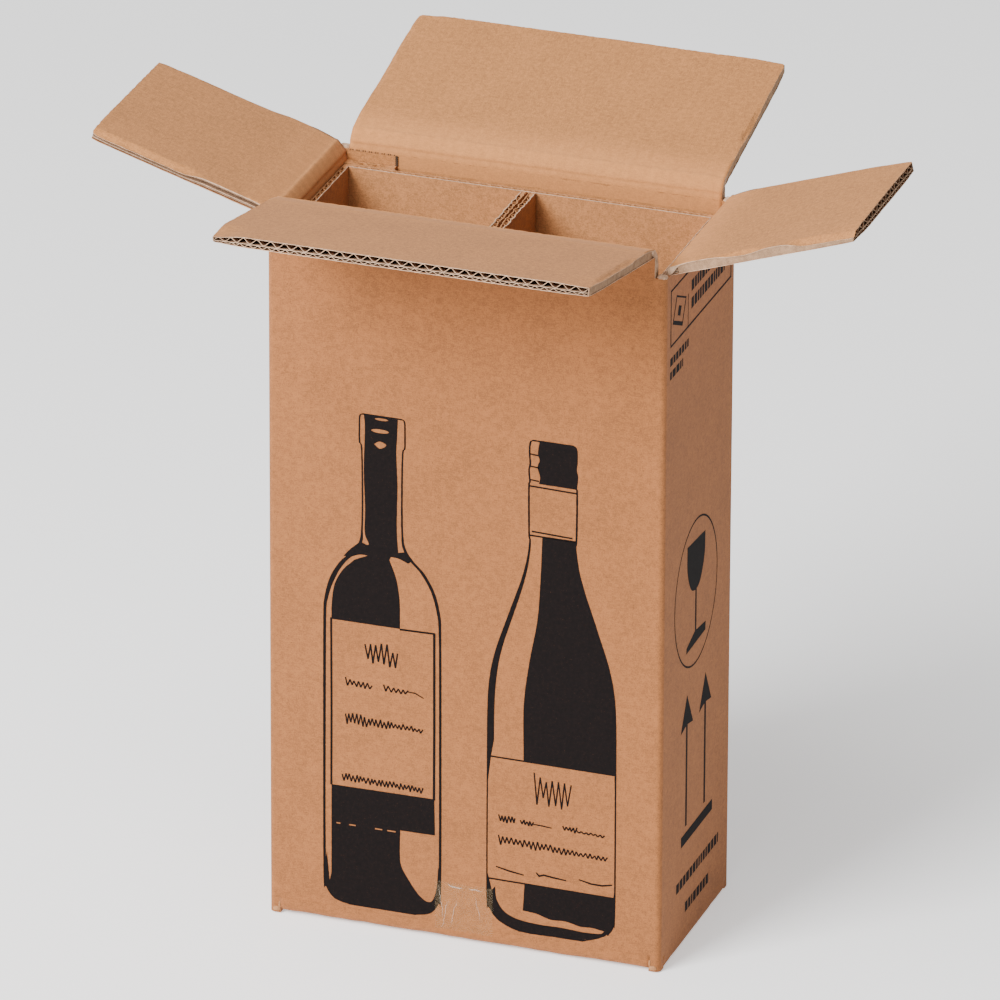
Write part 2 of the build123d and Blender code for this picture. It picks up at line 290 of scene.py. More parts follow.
# --- corrugated sheets ------------------------------------------------------
def sheet_tree():
    """Geometry Nodes: one paper of the board, flat or wavy, as a closed thin sheet."""
    tree = bpy.data.node_groups.new("board_paper", "GeometryNodeTree")
    face = tree.interface
    face.new_socket("Geometry", in_out="INPUT", socket_type="NodeSocketGeometry")
    for name in ("Half Width", "Start", "End", "Low", "Wave Height", "Pitch", "Paper"):
        face.new_socket(name, in_out="INPUT", socket_type="NodeSocketFloat")
    for name in ("Columns", "Rows"):
        face.new_socket(name, in_out="INPUT", socket_type="NodeSocketInt")
    for name in ("Face", "Edge"):
        face.new_socket(name, in_out="INPUT", socket_type="NodeSocketMaterial")
    face.new_socket("Geometry", in_out="OUTPUT", socket_type="NodeSocketGeometry")
    given = tree.nodes.new("NodeGroupInput").outputs
    result = tree.nodes.new("NodeGroupOutput").inputs

    width = maths(tree, "MULTIPLY", given["Half Width"], 2.0)
    length = maths(tree, "SUBTRACT", given["End"], given["Start"])
    middle = maths(tree, "MULTIPLY", maths(tree, "ADD", given["End"], given["Start"]), 0.5)
    grid_inputs = {"Size X": width, "Size Y": length, "Vertices X": given["Columns"], "Vertices Y": given["Rows"]}
    grid = add(tree, "GeometryNodeMeshGrid", grid_inputs).outputs["Mesh"]

    along = add(tree, "ShaderNodeSeparateXYZ", {0: add(tree, "GeometryNodeInputPosition").outputs[0]})
    turn = maths(tree, "DIVIDE", 2 * math.pi, given["Pitch"])
    angle = maths(tree, "MULTIPLY", along.outputs[0], turn)
    reach = maths(tree, "MULTIPLY", given["Wave Height"], 0.5)
    lift = maths(tree, "MULTIPLY_ADD", maths(tree, "SINE", angle), reach, reach)
    level = maths(tree, "ADD", lift, given["Low"])
    place = add(tree, "ShaderNodeCombineXYZ", {0: 0.0, 1: middle, 2: level})
    waved = add(tree, "GeometryNodeSetPosition", {"Geometry": grid, "Offset": place.outputs[0]})
    waved = waved.outputs[0]

    thick = add(tree, "GeometryNodeExtrudeMesh", {"Mesh": waved, "Offset Scale": 0.0, "Individual": False})
    slope = maths(tree, "MULTIPLY", maths(tree, "COSINE", angle), maths(tree, "MULTIPLY", reach, turn))
    normal = add(tree, "ShaderNodeCombineXYZ", {0: maths(tree, "MULTIPLY", slope, -1.0), 1: 0.0, 2: 1.0})
    unit = add(tree, "ShaderNodeVectorMath", {0: normal.outputs[0]}, operation="NORMALIZE")
    step = add(tree, "ShaderNodeVectorMath", {0: unit.outputs[0], "Scale": given["Paper"]}, operation="SCALE")
    raised_inputs = {"Geometry": thick.outputs["Mesh"], "Selection": thick.outputs["Top"], "Offset": step.outputs[0]}
    raised = add(tree, "GeometryNodeSetPosition", raised_inputs).outputs[0]
    under = add(tree, "GeometryNodeFlipFaces", {"Mesh": waved}).outputs[0]
    both = tree.nodes.new("GeometryNodeJoinGeometry")
    link(tree, raised, both.inputs[0])
    link(tree, under, both.inputs[0])
    merged = add(tree, "GeometryNodeMergeByDistance", {"Geometry": both.outputs[0], "Distance": 1e-7}).outputs[0]
    real = add(tree, "GeometryNodeRealizeInstances", {"Geometry": merged}).outputs[0]
    papered = add(tree, "GeometryNodeSetMaterial", {"Geometry": real, "Material": given["Face"]})
    sides = {"Geometry": papered.outputs[0], "Selection": thick.outputs["Side"], "Material": given["Edge"]}
    link(tree, add(tree, "GeometryNodeSetMaterial", sides).outputs[0], result[0])
    return tree


def made_by(tree, values):
    """Plain mesh that this tree makes with these named inputs."""
    holder = bpy.data.objects.new("holder", bpy.data.meshes.new("holder"))
    bpy.context.scene.collection.objects.link(holder)
    modifier = holder.modifiers.new("made", "NODES")
    modifier.node_group = tree
    for item in tree.interface.items_tree:
        if item.in_out == "INPUT" and item.name in values:
            modifier[item.identifier] = values[item.name]
    graph = bpy.context.evaluated_depsgraph_get()
    mesh = bpy.data.meshes.new_from_object(holder.evaluated_get(graph))
    holder.modifiers.remove(modifier)
    bpy.data.objects.remove(holder)
    return mesh


def smooth(value):
    value = max(0.0, min(1.0, value))
    return value * value * (3 - 2 * value)


def board_at_crease(along):
    """Thickness of the board at this distance from the crease."""
    full = CREASE_BOARD + (BOARD - CREASE_BOARD) * smooth(along / CREASE_STRIP)
    return full


def add_piece(name, mesh):
    piece = bpy.data.objects.new(name, mesh)
    bpy.context.scene.collection.objects.link(piece)
    return piece


def joined(name, meshes):
    """One object out of several meshes, keeping their materials."""
    parts = [add_piece(f"{name}_{index}", mesh) for index, mesh in enumerate(meshes)]
    with bpy.context.temp_override(active_object=parts[0], selected_editable_objects=parts):
        bpy.ops.object.join()
    parts[0].name = name
    return parts[0]


def flap_frame(joint):
    """Places flap coordinates: X along the crease, Y to the free edge, Z from the inner liner outwards."""
    axis = Vector(joint["axis"])
    opened = math.radians(-joint["range_deg"][0])
    inward = Vector((0, 0, 1)).cross(axis)
    along = inward * math.cos(opened) + Vector((0, 0, math.sin(opened)))
    outward = axis.cross(along)
    crease = Vector(joint["pos_m"])
    matrix = Matrix((axis, along, outward)).transposed().to_4x4()
    matrix.translation = crease - outward * BOARD
    return matrix, inward


def wrinkle(place, seed, size):
    return noise.noise(place * size + Vector((seed, 0, 0)))


def shape_board(mesh, half, seed, crushed, pressed):
    """Crushes the board to its crease, knocks its free corners, and presses and roughens its cut edges."""
    for vertex in mesh.vertices:
        point = vertex.co
        depth = BOARD - point.z                       # from the outer face
        thickness = board_at_crease(point.y)
        depth = depth * thickness / BOARD
        if point.y < BOARD:
            depth = min(depth, max(point.y - 0.1 * MM, 0.02 * MM))

        # corners that were knocked: pulled in, flattened and folded down a little
        for side, amount in crushed:
            near_side = 1 - (half - side * point.x) / (20 * MM)
            near_end = 1 - (FLAP_LENGTH - point.y) / (26 * MM)
            knock = smooth(near_side) * smooth(near_end) * amount
            depth *= 1 - 0.42 * knock
            point.y -= knock * (2.4 * MM + 2.0 * MM * (point.z / BOARD - 0.5))
            point.x -= side * knock * 1.2 * MM

        # cut edges that were pressed flat: side, width, amount and stretch from the crease
        for side, wide, amount, start, stop in pressed:
            near = smooth(1 - (half - side * point.x + wrinkle(point, seed + 60, 90.0) * 1.6 * MM) / (wide * MM))
            share = smooth((point.y / MM - start) / 14 + 0.5) * smooth((stop - point.y / MM) / 14 + 0.5)
            depth *= 1 - amount * near * share

        free = smooth(1 - (FLAP_LENGTH - point.y) / (3.5 * MM))
        edge = smooth(1 - (half - abs(point.x)) / (3.5 * MM))
        rough = abs(wrinkle(point, seed, 210.0)) * 0.55 * MM + abs(wrinkle(point, seed + 9, 900.0)) * 0.3 * MM
        point.y -= free * rough
        point.x -= math.copysign(edge * rough * 0.8, point.x)
        sag = max(0.0, wrinkle(Vector((point.x, point.y, 0)), seed + 20, 16.0)) * 0.4 * MM
        ripple = abs(wrinkle(Vector((point.x, 0, 0)), seed + 40, 420.0)) * 0.22 * MM * free
        depth -= (sag + ripple) * smooth((point.y - 18 * MM) / (24 * MM)) * depth / BOARD
        point.z = BOARD - max(depth, 0.0)


def round_corner(mesh, half, radius):
    """Moves points outside the rounded free corners back onto them."""
    for vertex in mesh.vertices:
        over_x = abs(vertex.co.x) - (half - radius)
        over_y = vertex.co.y - (FLAP_LENGTH - radius)
        if over_x > 0 and over_y > 0:
            reach = math.hypot(over_x, over_y)
            square = max(over_x, over_y)
            if reach > 0:
                vertex.co.x = math.copysign(half - radius + over_x * square / reach, vertex.co.x)
                vertex.co.y = FLAP_LENGTH - radius + over_y * square / reach


def make_flap(name, joint, seed, crushed, pressed, closed):
    matrix, _ = flap_frame(joint)
    low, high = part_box(name)
    axis = Vector(joint["axis"])
    half = abs((high - low).dot(axis)) / 2
    papers = (
        (0.0, 0.0, 8.0 * MM, LINER, 160, 28, inner_paper, CREASE_STRIP - 1.0 * MM),
        (LINER, WIDE_WAVE[0] - FLUTING, WIDE_WAVE[1], FLUTING, 0, 22, fluting_paper, 2.2 * MM),
        (LINER + WIDE_WAVE[0], 0.0, 8.0 * MM, LINER, 160, 22, fluting_paper, 1.6 * MM),
        (2 * LINER + WIDE_WAVE[0], FINE_WAVE[0] - FLUTING, FINE_WAVE[1], FLUTING, 0, 22, fluting_paper, 1.0 * MM),
        (BOARD - LINER, 0.0, 8.0 * MM, LINER, 160, 28, flap_outer_paper, 0.3 * MM),
    )
    meshes = []
    for low_face, wave_height, pitch, paper, columns, rows, skin, start in papers:
        if not columns:
            columns = int(2 * half / pitch * 12) + 1
        values = {
            "Half Width": half - (0.5 * MM if skin == fluting_paper else 0.0),
            "Start": start,
            "End": FLAP_LENGTH - (0.35 * MM if wave_height else 0.0),
            "Low": low_face,
            "Wave Height": wave_height,
            "Pitch": pitch,
            "Paper": paper,
            "Columns": columns,
            "Rows": rows,
            "Face": skin,
            "Edge": cut_paper,
        }
        mesh = made_by(board_tree, values)
        round_corner(mesh, half, 2.0 * MM)
        shape_board(mesh, half, seed, crushed, pressed)
        meshes.append(mesh)
    for side in closed:
        values = {"Half Width": 0.3 * MM, "Start": 5 * MM, "End": FLAP_LENGTH - 0.4 * MM, "Low": LINER,
                  "Wave Height": 0.0, "Pitch": 8.0 * MM, "Paper": BOARD - 2 * LINER, "Columns": 2, "Rows": 60,
                  "Face": pressed_paper, "Edge": pressed_paper}
        mesh = made_by(board_tree, values)
        mesh.transform(Matrix.Translation((side * (half - 0.55 * MM), 0, 0)))
        shape_board(mesh, half, seed, crushed, pressed)
        meshes.append(mesh)
    piece = joined(name.replace("top_flap", "flap_board"), meshes)
    mark = piece.data.attributes.new("board", "FLOAT_VECTOR", "POINT")
    for vertex, value in zip(piece.data.vertices, mark.data):
        value.vector = vertex.co
    piece.data.transform(matrix)
    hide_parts(name)
    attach(piece, joint["child"])
    return piece


board_tree = sheet_tree()


# --- creases ----------------------------------------------------------------
def spline(points, count):
    """Points on a smooth curve through the given ones."""
    ends = [points[0] * 2 - points[1], *points, points[-1] * 2 - points[-2]]
    curve = []
    for index in range(1, len(ends) - 2):
        a, b, c, d = ends[index - 1:index + 3]
        for step in range(count):
            t = step / count
            curve.append(0.5 * (2 * b + (c - a) * t + (2 * a - 5 * b + 4 * c - d) * t * t
                                + (3 * b - a - 3 * c + d) * t ** 3))
    curve.append(points[-1])
    return curve


def make_crease(name, joint, seed):
    """The liner and crushed flutes that bend over the top of a wall into its flap."""
    matrix, inward = flap_frame(joint)
    low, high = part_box(name)
    axis = Vector(joint["axis"])
    half = abs((high - low).dot(axis)) / 2
    crease = Vector(joint["pos_m"])
    along = matrix.col[1].to_3d()
    outward = matrix.col[2].to_3d()
    up = Vector((0, 0, 1))

    def on_wall(depth, height):
        return inward * depth * MM + up * height * MM

    def on_flap(distance, depth):
        return along * distance * MM - outward * depth * MM

    skin = spline(
        [
            on_wall(5.3, -15.0), on_wall(5.46, -11.0), on_wall(5.4, -5.3), on_wall(4.75, -2.6),
            on_wall(4.25, -0.4), on_flap(0.6, 4.25), on_flap(3.0, 4.5), on_flap(7.5, 5.05),
            on_flap(12.6, 5.42), on_flap(15.0, 5.44), on_flap(18.0, 5.25),
        ],
        4,
    )
    core = spline([on_flap(17.6, 5.18), on_flap(12.0, 5.0), on_flap(6.0, 4.2), on_flap(2.0, 1.2),
                   on_wall(1.4, -1.0), on_wall(5.0, -5.4), on_wall(5.2, -14.6)], 3)
    ring = skin + core
    steps = int(2 * half / (2.0 * MM))
    mesh = bmesh.new()
    rows = []
    for step in range(steps + 1):
        across = -half + 2 * half * step / steps
        row = []
        for index, offset in enumerate(ring):
            place = crease + axis * across + offset
            if index < len(skin):
                share = 1 - abs(index / (len(skin) - 1) * 2 - 1)
                dent = wrinkle(Vector((across, index * 0.0015, 0)), seed, 130.0) * 0.35 * MM
                place += offset.normalized() * min(dent, 0.0) * share
                place += offset.normalized() * 0.1 * MM * math.sin(2 * math.pi * across / WIDE_WAVE[1]) * share
            row.append(mesh.verts.new(place))
        rows.append(row)
    count = len(ring)
    for first, second in zip(rows, rows[1:]):
        for index in range(count):
            after = (index + 1) % count
            face = mesh.faces.new((first[index], first[after], second[after], second[index]))
            face.material_index = 0 if index < len(skin) - 1 else 1
            face.smooth = index < len(skin) - 1
    for row in (rows[0], rows[-1]):
        end = mesh.faces.new(row)
        end.material_index = 1
    bmesh.ops.recalc_face_normals(mesh, faces=mesh.faces)
    data = bpy.data.meshes.new(name)
    mesh.to_mesh(data)
    mesh.free()
    data.materials.append(inner_paper)
    data.materials.append(cut_paper)
    back = matrix.inverted()
    mark = data.attributes.new("board", "FLOAT_VECTOR", "POINT")
    for vertex, value in zip(data.vertices, mark.data):
        value.vector = back @ vertex.co
    piece = add_piece(name.replace("top_flap", "crease"), data)
    end = crease + on_flap(6.5, 5.4)
    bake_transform(piece)
    return piece


# --- print ------------------------------------------------------------------
# Shapes are drawn in wall millimetres: across from the middle of the wall, and up from the ground.
INK_LIFT = 0.015
INK_DEPTH = 0.035
rough_hand = random.Random(7)


def wall_place(wall):
    """Matrix from wall millimetres to the front or the right wall."""
    if wall == "front":
        columns = ((1, 0, 0), (0, 0, 1), (0, -1, 0))
        origin = Vector((0, FRONT, body_low.z))
    else:
        columns = ((0, 1, 0), (0, 0, 1), (1, 0, 0))
        origin = Vector((RIGHT, 0, body_low.z))
    matrix = Matrix(columns).transposed() * MM
    matrix = matrix.to_4x4()
    matrix.translation = origin
    return matrix


def outline(*runs):
    """Closed outline: each run is smooth, with a corner where one run ends and the next begins."""
    points = []
    for run in runs:
        run = [Vector(point) for point in run]
        points += spline(run, 6)[:-1] if len(run) > 2 else run[:1]
        if run[-1] != Vector(runs[0][0]):
            points.append(run[-1])
    return points


def worn(points, amount=0.10):
    """The outline with the small wobble of a printed edge."""
    moved = []
    for first, second in zip(points, points[1:] + points[:1]):
        steps = max(1, int((second - first).length / 1.2))
        for step in range(steps):
            place = first.lerp(second, step / steps)
            seed = Vector((place.x, place.y, 0)) * 0.9
            moved.append(place + Vector((noise.noise(seed), noise.noise(seed + Vector((50, 0, 0))))) * amount)
    return moved


def filled(loops):
    """Flat mesh in wall millimetres; a loop that lies inside another is a hole."""
    data = bpy.data.curves.new("shape", "CURVE")
    data.dimensions = "2D"
    data.fill_mode = "BOTH"
    for loop in loops:
        line = data.splines.new("POLY")
        line.points.add(len(loop) - 1)
        for point, place in zip(line.points, loop):
            point.co = (place.x, place.y, 0, 1)
        line.use_cyclic_u = True
    holder = add_piece("shape", data)
    graph = bpy.context.evaluated_depsgraph_get()
    mesh = bpy.data.meshes.new_from_object(holder.evaluated_get(graph))
    bpy.data.objects.remove(holder)
    return mesh


def ribbon(points, width, ends=0.35):
    """Pen stroke along these points, thinner at its ends."""
    points = [Vector(point) for point in points]
    left = []
    right = []
    for index, point in enumerate(points):
        before = points[max(index - 1, 0)]
        after = points[min(index + 1, len(points) - 1)]
        heading = (after - before).normalized()
        side = Vector((-heading.y, heading.x))
        reach = width / 2
        if index in (0, len(points) - 1):
            reach *= ends * 2
        if 0 < index < len(points) - 1:
            bend = (point - before).normalized().dot((after - point).normalized())
            reach = min(reach / max(math.sqrt((1 + bend) / 2), 0.45), width)
        left.append(point + side * reach)
        right.append(point - side * reach)
    return left + right[::-1]


def scribble(start, end, height, teeth, width=0.8, drift=0.0):
    """Zigzag pen line of uneven teeth."""
    points = []
    for index in range(teeth * 2 + 1):
        share = index / (teeth * 2)
        across = start[0] + (end[0] - start[0]) * share + rough_hand.uniform(-0.25, 0.25)
        tall = height * (1 - drift * share) * rough_hand.uniform(0.45, 1.0)
        up = start[1] + (end[1] - start[1]) * share + (tall if index % 2 == 0 else -tall) / 2
        points.append((across, up))
    return [ribbon(points[index:index + 2], width, 0.5) for index in range(len(points) - 1)]


def ring(profile, axis, left_line, right_line, base):
    """Outline of a bottle as a line whose width changes with height.

    profile lists half widths from the lip to the heel; the lines list widths against height.
    """
    def width_at(line, height):
        for (high, wide), (low, narrow) in zip(line, line[1:]):
            if height >= low:
                share = (height - low) / (high - low)
                return narrow + (wide - narrow) * min(share, 1)
        return line[-1][1]

    half = spline([Vector(point) for point in profile], 5)
    outer = [Vector((axis - point.x, point.y)) for point in half]
    outer += [Vector((axis + point.x, point.y)) for point in reversed(half)]
    inner = []
    for side, line in ((-1, left_line), (1, right_line)):
        wall = []
        for point in half:
            width = width_at(line, point.y)
            high = min(max(point.y, profile[-1][1] + base), profile[0][1] - 0.9)
            wall.append(Vector((axis + side * max(point.x - width, 2.0), high)))
        inner += wall if side < 0 else reversed(wall)
    return [worn(outer), worn(inner)]


def oval(middle, radii, count=40):
    return [
        Vector((middle[0] + radii[0] * math.cos(turn), middle[1] + radii[1] * math.sin(turn)))
        for turn in (2 * math.pi * index / count for index in range(count))
    ]


def box_points(left, low, right, high):
    return [Vector((left, low)), Vector((right, low)), Vector((right, high)), Vector((left, high))]


def claret_bottle():
    """High-shouldered bottle with a tall label."""
    axis = -45.2
    profile = [
        (10.5, 293.4), (12.6, 291.8), (12.9, 285), (12.8, 277), (11.7, 273.5), (11.3, 252), (11.5, 230),
        (12.8, 220.5), (17.2, 213.8), (23.4, 207.4), (28.9, 197.5), (31.9, 185.5), (32.5, 174), (32.7, 120),
        (32.7, 28), (31.2, 19.3), (26.5, 13.2), (18, 10.9),
    ]
    left = [(294, 0.9), (228, 1.0), (212, 2.9), (198, 2.9), (180, 1.7), (60, 1.4), (28, 1.6), (10, 3.0)]
    right = [(294, 0.9), (228, 1.1), (212, 2.2), (190, 1.9), (170, 1.4), (40, 1.5), (20, 3.0), (10, 4.0)]
    shadow = outline(
        [(-55.2, 292.8), (-54.7, 284), (-55.3, 262), (-54.6, 240), (-54.8, 226), (-52.6, 219.6), (-57.5, 220.6)],
        [(-59.5, 218.6), (-63.5, 214.8), (-66.5, 211.0)],
        [(-62.0, 211.4), (-57.5, 213.2), (-53.2, 213.3)],
        [(-60.5, 209.8), (-67.0, 203.0), (-71.3, 194.5), (-72.9, 184.5), (-73.2, 174.2)],
        [(-73.2, 174.2), (-35.4, 174.3)],
        [(-35.4, 174.3), (-35.6, 190), (-37.4, 202), (-41.2, 212.6)],
        [(-40.4, 214.4), (-36.5, 214.2), (-31.0, 212.2)],
        [(-28.5, 214.0), (-32.5, 218.4)],
        [(-36.4, 217.4), (-37.2, 232), (-36.8, 255), (-37.4, 272), (-37.0, 283), (-36.6, 292.4)],
    )
    glints = [
        oval((-45.6, 291.3), (3.6, 0.7), 16),
        oval((-46.4, 284.6), (4.8, 1.1), 16),
        outline([(-49.6, 277.0), (-46.6, 278.8), (-43.0, 277.2), (-46.4, 274.8), (-49.6, 277.0)]),
    ]
    heel = outline(
        [(-73.4, 79.2), (-16.4, 79.6)],
        [(-16.4, 79.6), (-16.0, 58.8)],
        [(-16.0, 58.8), (-35.2, 58.6)],
        [(-35.2, 58.6), (-35.4, 46), (-34.6, 38), (-30.4, 30.5), (-25.4, 23.4), (-20.6, 19.8), (-17.4, 21.0),
         (-15.2, 28), (-14.2, 40)],
        [(-12.9, 40), (-13.0, 28), (-14.6, 18.6), (-19.5, 13.0), (-28, 11.3), (-45, 11.1), (-62, 11.3),
         (-71.2, 14.2), (-76.0, 20.5), (-77.4, 30)],
        [(-75.9, 40), (-74.4, 23.5)],
        [(-73.4, 28), (-73.3, 79.2)],
    )
    dashes = [box_points(across, 57.0, across + wide, 57.7)
              for across, wide in ((-70.6, 2.2), (-63.5, 3.6), (-49.2, 4.0), (-42.4, 4.6))]
    shapes = [ring(profile, axis, left, right, 0.9), [worn(shadow), *glints], [worn(heel), *dashes]]
    shapes += [[ribbon([(-73.3, 175), (-73.2, 120), (-73.4, 79)], 1.2, 0.5)]]
    shapes += [[ribbon([(-16.6, 174.6), (-16.5, 120), (-16.6, 79)], 1.4, 0.5)]]
    shapes += [[ribbon([(-35.6, 174.0), (-16.2, 174.4)], 1.1, 0.5)]]
    pens = scribble((-54.6, 158.5), (-36.6, 156.0), 15.5, 6, 0.9)
    pens += scribble((-65.4, 139.6), (-51.0, 138.4), 5.6, 6, 0.8, 0.3)
    pens += scribble((-44.4, 139.0), (-31.0, 138.6), 4.8, 5, 0.8, 0.5)
    pens += [ribbon([(-31.2, 139.0), (-27.0, 138.8), (-22.4, 136.6)], 0.8)]
    pens += scribble((-65.6, 118.6), (-22.8, 117.8), 8.4, 20, 0.8, 0.65)
    pens += scribble((-67.4, 84.8), (-22.6, 83.6), 5.0, 22, 0.8, 0.2)
    return shapes + [[pen] for pen in pens]


def burgundy_bottle():
    """Slope-shouldered bottle with a screw cap and a low label."""
    axis = 47.9
    profile = [
        (11.0, 292.6), (13.0, 290.6), (13.3, 284), (12.9, 279), (13.6, 275), (13.1, 268.6), (13.6, 265.6),
        (13.4, 240), (12.9, 235), (14.4, 223.5), (17.4, 211.8), (21.9, 198.4), (26.2, 185.6), (30.8, 171.4),
        (33.8, 157.6), (35.2, 141), (35.5, 110), (35.5, 30), (33.9, 22), (28.4, 15.2), (17.5, 10.9),
    ]
    left = [(293, 1.0), (238, 1.0), (222, 1.5), (200, 2.6), (180, 3.0), (155, 3.9), (111, 4.0), (109, 0.8),
            (42, 0.8), (40, 3.4), (10, 4.4)]
    right = [(293, 1.0), (238, 1.1), (111, 1.2), (109, 0.9), (42, 0.9), (40, 1.6), (10, 3.0)]
    cap = outline(
        [(40.4, 291.9), (60.0, 291.9)],
        [(60.0, 291.9), (60.6, 282), (60.8, 268.0)],
        [(60.8, 268.0), (40.2, 268.2)],
        [(40.2, 268.2), (40.8, 272), (39.4, 277.4), (40.5, 281.5), (39.6, 285), (40.4, 291.9)],
    )
    body = outline(
        [(42.2, 238.4), (60.4, 238.4)],
        [(60.4, 238.4), (60.7, 231), (64.6, 212.0), (73.4, 186.5), (78.2, 171.4), (81.2, 157.6), (82.6, 141),
         (82.9, 109.4)],
        [(82.9, 109.4), (32.6, 109.6)],
        [(32.6, 109.6), (32.5, 141), (35.2, 165), (39.6, 190), (41.2, 212), (42.2, 238.4)],
    )
    heel = outline(
        [(33.4, 38.7), (83.0, 38.5)],
        [(83.0, 38.5), (83.4, 29), (82.4, 21.4), (79.4, 16.4)],
        [(77.6, 18.7), (71.0, 19.6), (64.0, 19.4), (56.0, 21.0), (48.0, 20.6), (40.0, 22.8), (32.5, 23.4)],
    )
    sole = outline(
        [(13.2, 30.0), (14.6, 23.0), (20.0, 15.2), (31.1, 11.0), (48.7, 10.9), (64.1, 12.0), (77.3, 15.6)],
        [(80.4, 18.6), (76.7, 17.2), (66.9, 16.4), (53.1, 17.0), (42.1, 16.8), (30.5, 17.8), (22.8, 20.9),
         (18.3, 27.2), (17.2, 35.0)],
    )
    shapes = [ring(profile, axis, left, right, 1.2), [worn(cap)], [worn(body)], [worn(heel)], [worn(sole)]]
    shapes += [[ribbon([(35.2, 266.4), (60.6, 265.8)], 0.9, 0.5)], [ribbon([(36.4, 241.0), (58.6, 240.2)], 0.9, 0.5)]]
    shapes += [[ribbon([(34.6, 238.6), (60.8, 238.6)], 0.9, 0.5)], [ribbon([(12.8, 109.6), (83.0, 109.4)], 0.9, 0.5)]]
    shapes += [[ribbon([(12.8, 39.2), (83.0, 38.6)], 0.9, 0.5)]]
    shapes += [[ribbon([(35.0, height), (40.2, height - 0.4)], 0.8, 0.5)] for height in (284.4, 277.6, 270.0)]
    pens = scribble((38.4, 95.0), (58.6, 93.0), 19.0, 6, 0.8)
    pens += scribble((19.0, 74.8), (28.2, 74.4), 4.6, 5, 0.8)
    pens += scribble((31.2, 74.6), (38.0, 74.0), 3.0, 4, 0.8)
    pens += [ribbon([(38.0, 74.2), (43.0, 74.0), (48.2, 73.6)], 0.8)]
    pens += scribble((54.4, 74.6), (62.0, 74.4), 3.6, 4, 0.8)
    pens += scribble((62.0, 74.0), (77.4, 73.2), 1.6, 6, 0.8)
    pens += scribble((19.0, 62.8), (78.8, 60.4), 7.0, 25, 0.8, 0.6)
    pens += [ribbon([(17.6, 46.6), (25.0, 45.0), (33.0, 44.0)], 1.0)]
    pens += [ribbon([(39.8, 46.6), (41.4, 44.8), (44.0, 45.8), (49.0, 45.2), (56.4, 44.6)], 1.0)]
    pens += [ribbon([(63.2, 46.4), (70.0, 45.0), (76.0, 44.9), (81.6, 46.2)], 1.0)]
    return shapes + [[pen] for pen in pens]


def block_line(start, end, low, high):
    """Row of plain blocks where a line of small print would stand."""
    shapes = []
    across = start
    while across < end:
        wide = rough_hand.uniform(2.2, 5.0)
        shapes.append([box_points(across, low, min(across + wide, end), high)])
        across += wide + 1.1
    return shapes


def handling_marks():
    """Plain glass in a ring, two arrows that point up, and rows of blocks."""
    middle = -3.0
    shapes = [[oval((middle, 195.4), (34.8, 41.4), 72), oval((middle, 195.4), (33.8, 40.3), 72)]]
    bowl = outline(
        [(middle - 14.6, 226.0), (middle + 14.4, 224.0)],
        [(middle + 14.4, 224.0), (middle + 13.6, 211), (middle + 7.4, 199.6), (middle, 196.6), (middle - 8.4, 200),
         (middle - 14.2, 212), (middle - 14.6, 226.0)],
    )
    shapes += [[worn(bowl)], [box_points(middle - 1.1, 171, middle + 1.1, 198)]]
    shapes += [[[Vector(point) for point in ((middle - 15, 165.6), (middle + 16, 166.6), (middle + 16.4, 171.4),
                                             (middle - 1, 173.2), (middle - 14.6, 168.6))]]]
    for across in (-15.6, 14.2):
        head = [(across - 10, 122.6), (across, 124.6), (across + 10, 122.6), (across, 141.6)]
        shapes += [[worn([Vector(point) for point in head])], [box_points(across - 1.3, 66.4, across + 1.3, 125)]]
    shapes += [[box_points(-23.4, 56.6, 27.4, 62.6)]]
    shapes += block_line(-30.4, 38.0, 33.0, 38.6)
    shapes += block_line(-15.6, 23.2, 16.4, 22.0)
    frame_box = [box_points(-48.6, 351.0, 49.0, 383.0), box_points(-47.4, 352.2, 47.8, 381.8)]
    shapes += [frame_box, [box_points(-20.9, 352, -20.2, 370)]]
    tilt = Matrix.Rotation(math.radians(-24), 2)
    parcel = [Vector((-34.4, 366.4)) + tilt @ point for point in box_points(-8.6, -7.6, 8.6, 7.6)]
    lining = [Vector((-34.4, 366.4)) + tilt @ point for point in box_points(-7.4, -5.4, 7.4, 6.6)]
    stamp = [Vector((-34.4, 366.4)) + tilt @ point for point in box_points(-2.4, -2.6, 2.4, 2.6)]
    shapes += [[parcel, lining], [stamp]]
    shapes += block_line(-15.4, 44.0, 369.4, 375.4)
    shapes += block_line(-15.4, 38.0, 359.6, 365.6)
    shapes += block_line(-48.6, -19.4, 340.6, 345.0)
    shapes += block_line(-48.6, -28.0, 333.0, 337.4)
    return shapes


def print_on(name, wall, shapes):
    meshes = []
    for index, loops in enumerate(shapes):
        mesh = filled(loops)
        form = bmesh.new()
        form.from_mesh(mesh)
        bmesh.ops.remove_doubles(form, verts=form.verts, dist=0.002)
        bmesh.ops.recalc_face_normals(form, faces=form.faces)
        for face in form.faces:
            if face.normal.z > 0:
                face.normal_flip()
        made = bmesh.ops.extrude_face_region(form, geom=list(form.faces), use_keep_orig=True)
        depth = INK_DEPTH + 0.004 * (index % 5)
        for item in made["geom"]:
            if isinstance(item, bmesh.types.BMVert):
                item.co.z += depth
        for vertex in form.verts:
            vertex.co.z += INK_LIFT
        bmesh.ops.recalc_face_normals(form, faces=form.faces)
        form.to_mesh(mesh)
        form.free()
        mesh.materials.clear()
        mesh.materials.append(ink)
        meshes.append(mesh)
    piece = joined(name, meshes)
    piece.data.transform(wall_place(wall))
    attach(piece, "carton")
    return piece


